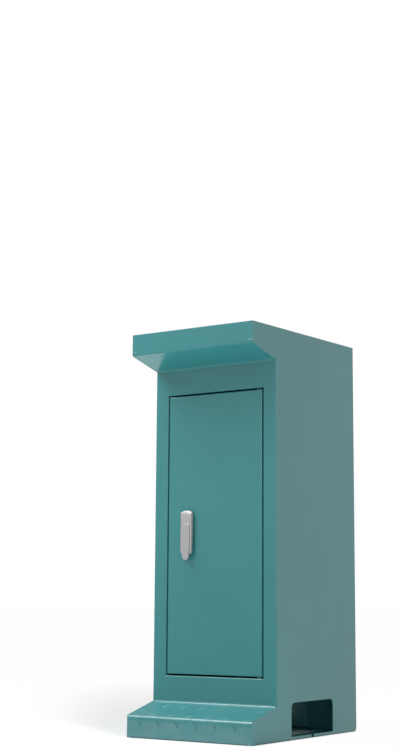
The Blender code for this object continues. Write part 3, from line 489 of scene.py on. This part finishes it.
def seam_strip(bm, x, y, low, high):
    """Low rounded strip over an upright seam in a front face."""
    section = [
        (-SEAM_HALF, SEAM_RISE), (-SEAM_HALF, 0.0), (-SEAM_HALF / 2, -SEAM_SHOULDER),
        (0.0, -SEAM_RISE),
        (SEAM_HALF / 2, -SEAM_SHOULDER), (SEAM_HALF, 0.0), (SEAM_HALF, SEAM_RISE),
    ]
    ends = [[bm.verts.new((x + across, y + out, z)) for across, out in section]
            for z in (low, high)]
    count = len(section)
    for i in range(count):
        bm.faces.new((ends[0][i], ends[0][(i + 1) % count], ends[1][(i + 1) % count], ends[1][i]))
    bm.faces.new(list(reversed(ends[0])))
    bm.faces.new(ends[1])


def make_seams():
    """Ground and painted seams where the front sheets meet the flanges of the sides."""
    bm = bmesh.new()
    for side in (-1, 1):
        seam_strip(bm, side * FLANGE_EDGE, FRONT, FRAME_LOW.z, FRAME_TOP.z)
        seam_strip(bm, side * FLANGE_EDGE, HEAD_FRONT, HEAD_FLANGE_LOW, HEIGHT - SEAM_HALF)
        seam_strip(bm, side * FLANGE_EDGE, STEP_FRONT, NOSE_BEND, STEP_FLANGE_HIGH)
    add_piece("front_seams", bm, "stand", PAINT)


def corner_fill(bm, side, face, rows):
    """Ground weld round a front corner. Rows are (height, corner radius, how proud it stands)."""
    layers = []
    for depth in (0.0, FILL_DEPTH):
        grid = []
        for height, radius, proud in rows:
            out = proud - depth
            plan = [(FLANGE_EDGE - FILL_OVERLAP, face - out)]
            for step in range(FILL_STEPS + 1):
                angle = math.pi / 2 * step / FILL_STEPS
                plan.append((HALF - radius + (radius + out) * math.sin(angle),
                             face + radius - (radius + out) * math.cos(angle)))
            plan.append((HALF + out, face + SIDE_BEND + FILL_OVERLAP))
            grid.append([bm.verts.new((side * x, y, height)) for x, y in plan])
        layers.append(grid)
    front, back = layers
    for grid in layers:
        for here, there in zip(grid, grid[1:]):
            for i in range(len(here) - 1):
                bm.faces.new((here[i], here[i + 1], there[i + 1], there[i]))
    rims = ((front[0], back[0]), (front[-1], back[-1]),
            ([row[0] for row in front], [row[0] for row in back]),
            ([row[-1] for row in front], [row[-1] for row in back]))
    for outer, inner in rims:
        for i in range(len(outer) - 1):
            bm.faces.new((outer[i], outer[i + 1], inner[i + 1], inner[i]))


def make_corner_fills():
    """Welds that close the corner reliefs of the side flanges at the step and the head."""
    bm = bmesh.new()
    for side in (-1, 1):
        for face, height, up in ((STEP_FRONT, STEP_FLANGE_HIGH, 1),
                                 (HEAD_FRONT, HEAD_FLANGE_LOW, -1)):
            rows = [(height + up * past, radius, proud) for past, radius, proud in FILL_ROWS]
            corner_fill(bm, side, face, rows)
    add_piece("corner_welds", bm, "stand", PAINT)


class StepSurface:
    """Outer face of the step, unrolled: up the riser, round the nose and along the tread."""

    def __init__(self):
        slope = Vector((FRONT - STEP_FRONT, STEP_HIGH - RISER_HEIGHT)).normalized()
        self.turn = Vector((0, 1)).angle(slope)
        tangent = NOSE_BEND * math.tan(self.turn / 2)
        self.riser = RISER_HEIGHT - tangent
        self.arc = NOSE_BEND * self.turn
        self.centre = Vector((STEP_FRONT + NOSE_BEND, self.riser))
        self.slope = slope
        self.tread_start = self.centre + NOSE_BEND * Vector((-slope.y, slope.x))
        self.tread = Vector((FRONT - STEP_FRONT, STEP_HIGH - RISER_HEIGHT)).length - tangent
        self.length = self.riser + self.arc + self.tread

    def at(self, distance):
        """(place, normal) in the YZ plane at a distance from the floor."""
        if distance < self.riser:
            return Vector((STEP_FRONT, distance)), Vector((-1, 0))
        if distance < self.riser + self.arc:
            angle = (distance - self.riser) / NOSE_BEND
            normal = Vector((-math.cos(angle), math.sin(angle)))
            return self.centre + NOSE_BEND * normal, normal
        along = distance - self.riser - self.arc
        return self.tread_start + along * self.slope, Vector((-self.slope.y, self.slope.x))


def add_lug(bm, surface, x, distance, tilt):
    """One lens-shaped lug on the step, laid along a tilt from the X direction."""
    along = Vector((math.cos(tilt), math.sin(tilt)))
    across = Vector((-along.y, along.x))
    rows = []
    for step in range(1, LUG_STEPS):
        t = 2 * step / LUG_STEPS - 1
        half = LUG_WIDTH / 2 * (1 - t * t)
        row = []
        for share in LUG_PROFILE:
            spot = along * (t * LUG_LENGTH / 2) + across * (share * half)
            rise = LUG_RISE * (1 - share * share) * min(1.0, LUG_FULLNESS * (1 - t * t))
            row.append((spot, rise - BEAD_SINK * (abs(share) == 1.0)))
        rows.append(row)
    tips = [(along * (sign * LUG_LENGTH / 2), -BEAD_SINK) for sign in (-1, 1)]

    def vert(spot, rise):
        place, normal = surface.at(distance + spot.y)
        place = place + normal * rise
        return bm.verts.new((x + spot.x, place.x, place.y))

    grid = [[vert(*cell) for cell in row] for row in rows]
    first, last = (vert(*tip) for tip in tips)
    for here, there in zip(grid, grid[1:]):
        for i in range(len(LUG_PROFILE) - 1):
            bm.faces.new((here[i], here[i + 1], there[i + 1], there[i]))
    for i in range(len(LUG_PROFILE) - 1):
        bm.faces.new((first, grid[0][i + 1], grid[0][i]))
        bm.faces.new((last, grid[-1][i], grid[-1][i + 1]))
    bm.faces.new([first] + [row[0] for row in grid] + [last] + [row[-1] for row in reversed(grid)])


def make_lugs():
    """Raised lugs of the step's tread plate in crossed rows, steeper in the row on the riser."""
    surface = StepSurface()
    bm = bmesh.new()
    reach = LUG_LENGTH / 2 * math.cos(LUG_TILT)
    for row in range(int(2 * surface.length / LUG_PITCH)):
        distance = LUG_START + row * LUG_PITCH / 2
        if distance + reach > surface.length - BEAD_LEG - LUG_END_MARGIN:
            break
        tilt = (LUG_TILT if row else RISER_LUG_TILT) * (1 if row % 2 else -1)
        x = LUG_START_X + (row % 2) * LUG_PITCH / 2
        while x + reach < INNER - LUG_END_MARGIN:
            add_lug(bm, surface, x, distance, tilt)
            x += LUG_PITCH
    add_piece("tread_lugs", bm, "stand", LUG_PAINT)


# Camera, solved from the straight edges of the stand in the photo
CAMERA_PLACE = (1.83103, -2.66862, 0.28889)
CAMERA_AZIMUTH = math.radians(34.446)
CAMERA_PITCH = math.radians(9.425)
CAMERA_ROLL = math.radians(0.123)
CAMERA_FOCUS = 1455.775
CAMERA_CENTRE = (245.738, 356.852)
SENSOR_WIDTH = 36.0
IMAGE_WIDTH = 400
IMAGE_HEIGHT = 752

# Lamps: direction from the middle of the stand, or place, size and brightness
KEY_TOWARDS = (-0.40, -0.32, 0.86)
KEY_DISTANCE = 2.3
KEY_SIZE = (1.8, 1.8)
KEY_LEVEL = 4.8
FILL_TOWARDS = (0.70, -0.52, 0.44)
FILL_LEVEL = 0.33
FILL_SPREAD = math.radians(80)
BOARD_PLACE = (0.0, -0.40, 0.002)
BOARD_SIZE = (1.2, 0.36)
BOARD_LEVEL = 0.50
BOARD_SPREAD = math.radians(45)
PANEL_POWER = 4

# Floor: its grey in the open and in the painted shadow, and its share of plain white there
FLOOR_SIZE = 30.0
FLOOR_DROP = 0.0004
FLOOR_EDGE = 0.004
FLOOR_GREY = (0.95, 0.80)
FLOOR_WHITE = (0.985, 0.15)
FLOOR_DIM = 0.40
FLOOR_DIM_Y = (-0.7, 0.2)

# Shadow on the floor, rendered and partly painted into its colour: direction of its front edge
# from the step's corner, how that edge starts, the direction in which it fades, and how far it
# reaches to each side of that and to the back
SHADOW_TURN = math.radians(150)
SHADOW_EDGE = (0.07, -0.05)
SHADOW_START = (-0.10, 0.08)
FADE_TURN = math.radians(129.5)
FADE_LEFT = (0.36, -0.02)
FADE_RIGHT = (-0.50, -0.30)
FADE_BACK = (2.6, 0.0)

# Surrounding: its light, and how bright the paint mirrors its left and its back
WORLD_LEVEL = 0.17
GLOSS_LEFT = 0.66
GLOSS_FADE = (-0.35, 0.35)
GLOSS_BACK = 0.5
BACK_FADE = (0.6, 1.1)


def make_camera():
    """Camera at the photo's viewing angle."""
    data = bpy.data.cameras.new("camera")
    data.sensor_width = SENSOR_WIDTH
    data.lens = CAMERA_FOCUS * SENSOR_WIDTH / IMAGE_HEIGHT
    data.shift_x = (IMAGE_WIDTH / 2 - CAMERA_CENTRE[0]) / IMAGE_HEIGHT
    data.shift_y = (CAMERA_CENTRE[1] - IMAGE_HEIGHT / 2) / IMAGE_HEIGHT
    camera = bpy.data.objects.new("camera", data)
    forward = Vector((-math.sin(CAMERA_AZIMUTH) * math.cos(CAMERA_PITCH),
                      math.cos(CAMERA_AZIMUTH) * math.cos(CAMERA_PITCH),
                      math.sin(CAMERA_PITCH)))
    level = Vector((math.cos(CAMERA_AZIMUTH), math.sin(CAMERA_AZIMUTH), 0.0))
    upright = level.cross(forward)
    right = level * math.cos(CAMERA_ROLL) + upright * math.sin(CAMERA_ROLL)
    up = right.cross(forward)
    turn = Matrix((right, up, -forward)).transposed()
    camera.matrix_world = Matrix.Translation(CAMERA_PLACE) @ turn.to_4x4()
    bpy.context.scene.collection.objects.link(camera)
    bpy.context.scene.camera = camera


def add_lamp(name, light):
    """Lamp that the camera doesn't see."""
    lamp = bpy.data.objects.new(name, light)
    lamp.visible_camera = False
    bpy.context.scene.collection.objects.link(lamp)
    return lamp


def aim(lamp, towards, distance):
    """Place a lamp in a direction from the middle of the stand, looking back at it."""
    direction = Vector(towards).normalized()
    lamp.location = Vector((0.0, 0.0, HEIGHT / 2)) + direction * distance
    lamp.rotation_euler = direction.to_track_quat("Z", "Y").to_euler()


def panel_light(name, size, level):
    """Flat rectangular light. Level is the brightness of its face."""
    light = bpy.data.lights.new(name, "AREA")
    light.shape = "RECTANGLE"
    light.size, light.size_y = size
    light.energy = PANEL_POWER * size[0] * size[1] * level
    return light


def make_lights():
    """Large soft key from above the front left, a low soft fill from the front right, and a weak
    board on the floor that lights the underside of the head and isn't mirrored in the paint."""
    aim(add_lamp("key", panel_light("key", KEY_SIZE, KEY_LEVEL)), KEY_TOWARDS, KEY_DISTANCE)

    sun = bpy.data.lights.new("fill", "SUN")
    sun.energy = math.pi * FILL_LEVEL
    sun.angle = FILL_SPREAD
    aim(add_lamp("fill", sun), FILL_TOWARDS, 1.0)

    light = panel_light("bounce", BOARD_SIZE, BOARD_LEVEL)
    light.spread = BOARD_SPREAD
    board = add_lamp("bounce", light)
    board.location = BOARD_PLACE
    board.rotation_euler = (math.pi, 0.0, 0.0)
    board.visible_glossy = False


def coordinates(tree, kind):
    """Outputs X, Y and Z of a texture coordinate."""
    parts = tree.nodes.new("ShaderNodeSeparateXYZ")
    place = tree.nodes.new("ShaderNodeTexCoord").outputs[kind]
    tree.links.new(place, parts.inputs["Vector"])
    return parts.outputs


def ramp_node(tree, value, start, end, low, high):
    """Smooth step of a value from start..end to low..high."""
    node = tree.nodes.new("ShaderNodeMapRange")
    node.interpolation_type = "SMOOTHSTEP"
    node.inputs["From Min"].default_value = start
    node.inputs["From Max"].default_value = end
    node.inputs["To Min"].default_value = low
    node.inputs["To Max"].default_value = high
    tree.links.new(value, node.inputs["Value"])
    return node.outputs["Result"]


def math_node(tree, operation, first, second):
    """Result of a sum on two values."""
    node = tree.nodes.new("ShaderNodeMath")
    node.operation = operation
    for socket, value in zip(node.inputs, (first, second)):
        if isinstance(value, float):
            socket.default_value = value
        else:
            tree.links.new(value, socket)
    return node.outputs["Value"]


def background_ray(tree):
    """1 for camera, glossy and transmission rays, which see the backdrop as white."""
    path = tree.nodes.new("ShaderNodeLightPath")
    value = path.outputs["Is Camera Ray"]
    for ray in ("Is Glossy Ray", "Is Transmission Ray"):
        value = math_node(tree, "MAXIMUM", value, path.outputs[ray])
    return value


def turned_place(tree, turn):
    """Distances along and across a direction, from the step's left front corner on the floor."""
    turned = tree.nodes.new("ShaderNodeMapping")
    turned.vector_type = "TEXTURE"
    turned.inputs["Location"].default_value = (-HALF, STEP_FRONT, 0.0)
    turned.inputs["Rotation"].default_value = (0.0, 0.0, turn)
    place = tree.nodes.new("ShaderNodeTexCoord").outputs["Object"]
    tree.links.new(place, turned.inputs["Vector"])
    parts = tree.nodes.new("ShaderNodeSeparateXYZ")
    tree.links.new(turned.outputs["Vector"], parts.inputs["Vector"])
    return parts.outputs["X"], parts.outputs["Y"]


def painted_shadow_zone(tree):
    """Where the stand's long shadow lies on the floor, partly painted, fading with distance from
    the step.
    """
    along, across = turned_place(tree, SHADOW_TURN)
    edge = ramp_node(tree, across, *SHADOW_EDGE, 0.0, 1.0)
    start = ramp_node(tree, along, *SHADOW_START, 0.0, 1.0)
    shadow = math_node(tree, "MULTIPLY", edge, start)
    along, across = turned_place(tree, FADE_TURN)
    for value, reach in ((across, FADE_LEFT), (across, FADE_RIGHT), (along, FADE_BACK)):
        fade = ramp_node(tree, value, *reach, 0.0, 1.0)
        shadow = math_node(tree, "MULTIPLY", shadow, fade)
    return shadow


def floor_glow(tree, shadow):
    """Share of plain white in the floor: none under the stand, little in its shadow, else most."""
    place = coordinates(tree, "Object")
    across = math_node(tree, "ABSOLUTE", place["X"], 0.0)
    across = math_node(tree, "SUBTRACT", across, HALF)
    along = math_node(tree, "ABSOLUTE", place["Y"], 0.0)
    along = math_node(tree, "SUBTRACT", along, -STEP_FRONT)
    outside = math_node(tree, "MAXIMUM", across, along)
    beyond = ramp_node(tree, outside, -FLOOR_EDGE, FLOOR_EDGE, 0.0, 1.0)
    white = ramp_node(tree, shadow, 0.0, 1.0, *FLOOR_WHITE)
    return math_node(tree, "MULTIPLY", beyond, white)


def floor_strength(tree):
    """White as seen directly, and dimmer towards the front where the paint mirrors it."""
    place = coordinates(tree, "Object")
    mirrored = ramp_node(tree, place["Y"], *FLOOR_DIM_Y, FLOOR_DIM, 1.0)
    seen = tree.nodes.new("ShaderNodeLightPath").outputs["Is Camera Ray"]
    return math_node(tree, "MAXIMUM", seen, mirrored)


def make_floor():
    """White floor that keeps the stand's soft shadow, with a painted shadow in its colour left of
    the step.
    """
    bm = bmesh.new()
    bmesh.ops.create_grid(bm, x_segments=8, y_segments=8, size=FLOOR_SIZE)
    mesh = bpy.data.meshes.new("floor")
    bm.to_mesh(mesh)
    bm.free()
    floor = bpy.data.objects.new("floor", mesh)
    floor.location.z = -FLOOR_DROP
    bpy.context.scene.collection.objects.link(floor)
    material = bpy.data.materials.new("floor_white")
    material.use_nodes = True
    tree = material.node_tree
    tree.nodes.remove(tree.nodes["Principled BSDF"])
    shadow = painted_shadow_zone(tree)
    diffuse = tree.nodes.new("ShaderNodeBsdfDiffuse")
    # Painted shadow: the floor's colour is darker in the shadow zone
    tree.links.new(ramp_node(tree, shadow, 0.0, 1.0, *FLOOR_GREY), diffuse.inputs["Color"])
    glow = tree.nodes.new("ShaderNodeEmission")
    tree.links.new(floor_strength(tree), glow.inputs["Strength"])
    blend = tree.nodes.new("ShaderNodeMixShader")
    share = math_node(tree, "MULTIPLY", background_ray(tree), floor_glow(tree, shadow))
    tree.links.new(share, blend.inputs["Fac"])
    tree.links.new(diffuse.outputs["BSDF"], blend.inputs[1])
    tree.links.new(glow.outputs["Emission"], blend.inputs[2])
    tree.links.new(blend.outputs["Shader"], tree.nodes["Material Output"].inputs["Surface"])
    mesh.materials.append(material)


def make_surround():
    """White surrounding that the paint mirrors dimmer on the left and behind."""
    world = bpy.data.worlds.new("surround")
    world.use_nodes = True
    bpy.context.scene.world = world
    tree = world.node_tree
    path = tree.nodes.new("ShaderNodeLightPath").outputs
    place = coordinates(tree, "Generated")
    left = ramp_node(tree, place["X"], *GLOSS_FADE, GLOSS_LEFT, 1.0)
    behind = math_node(tree, "SUBTRACT", place["Y"], place["X"])
    back = ramp_node(tree, behind, *BACK_FADE, 1.0, GLOSS_BACK)
    room = math_node(tree, "MULTIPLY", left, back)
    mirrored = math_node(tree, "MULTIPLY", path["Is Glossy Ray"], room)
    seen = math_node(tree, "MAXIMUM", path["Is Camera Ray"], path["Is Transmission Ray"])
    white = math_node(tree, "MAXIMUM", mirrored, seen)
    backdrop = tree.nodes["Background"]
    backdrop.inputs["Color"].default_value = (1.0, 1.0, 1.0, 1.0)
    strength = math_node(tree, "MAXIMUM", white, WORLD_LEVEL)
    tree.links.new(strength, backdrop.inputs["Strength"])


make_camera()
dress_all()
make_beads()
make_seams()
make_corner_fills()
make_lugs()
make_floor()
make_surround()
make_lights()
bpy.context.scene.view_settings.view_transform = "Standard"
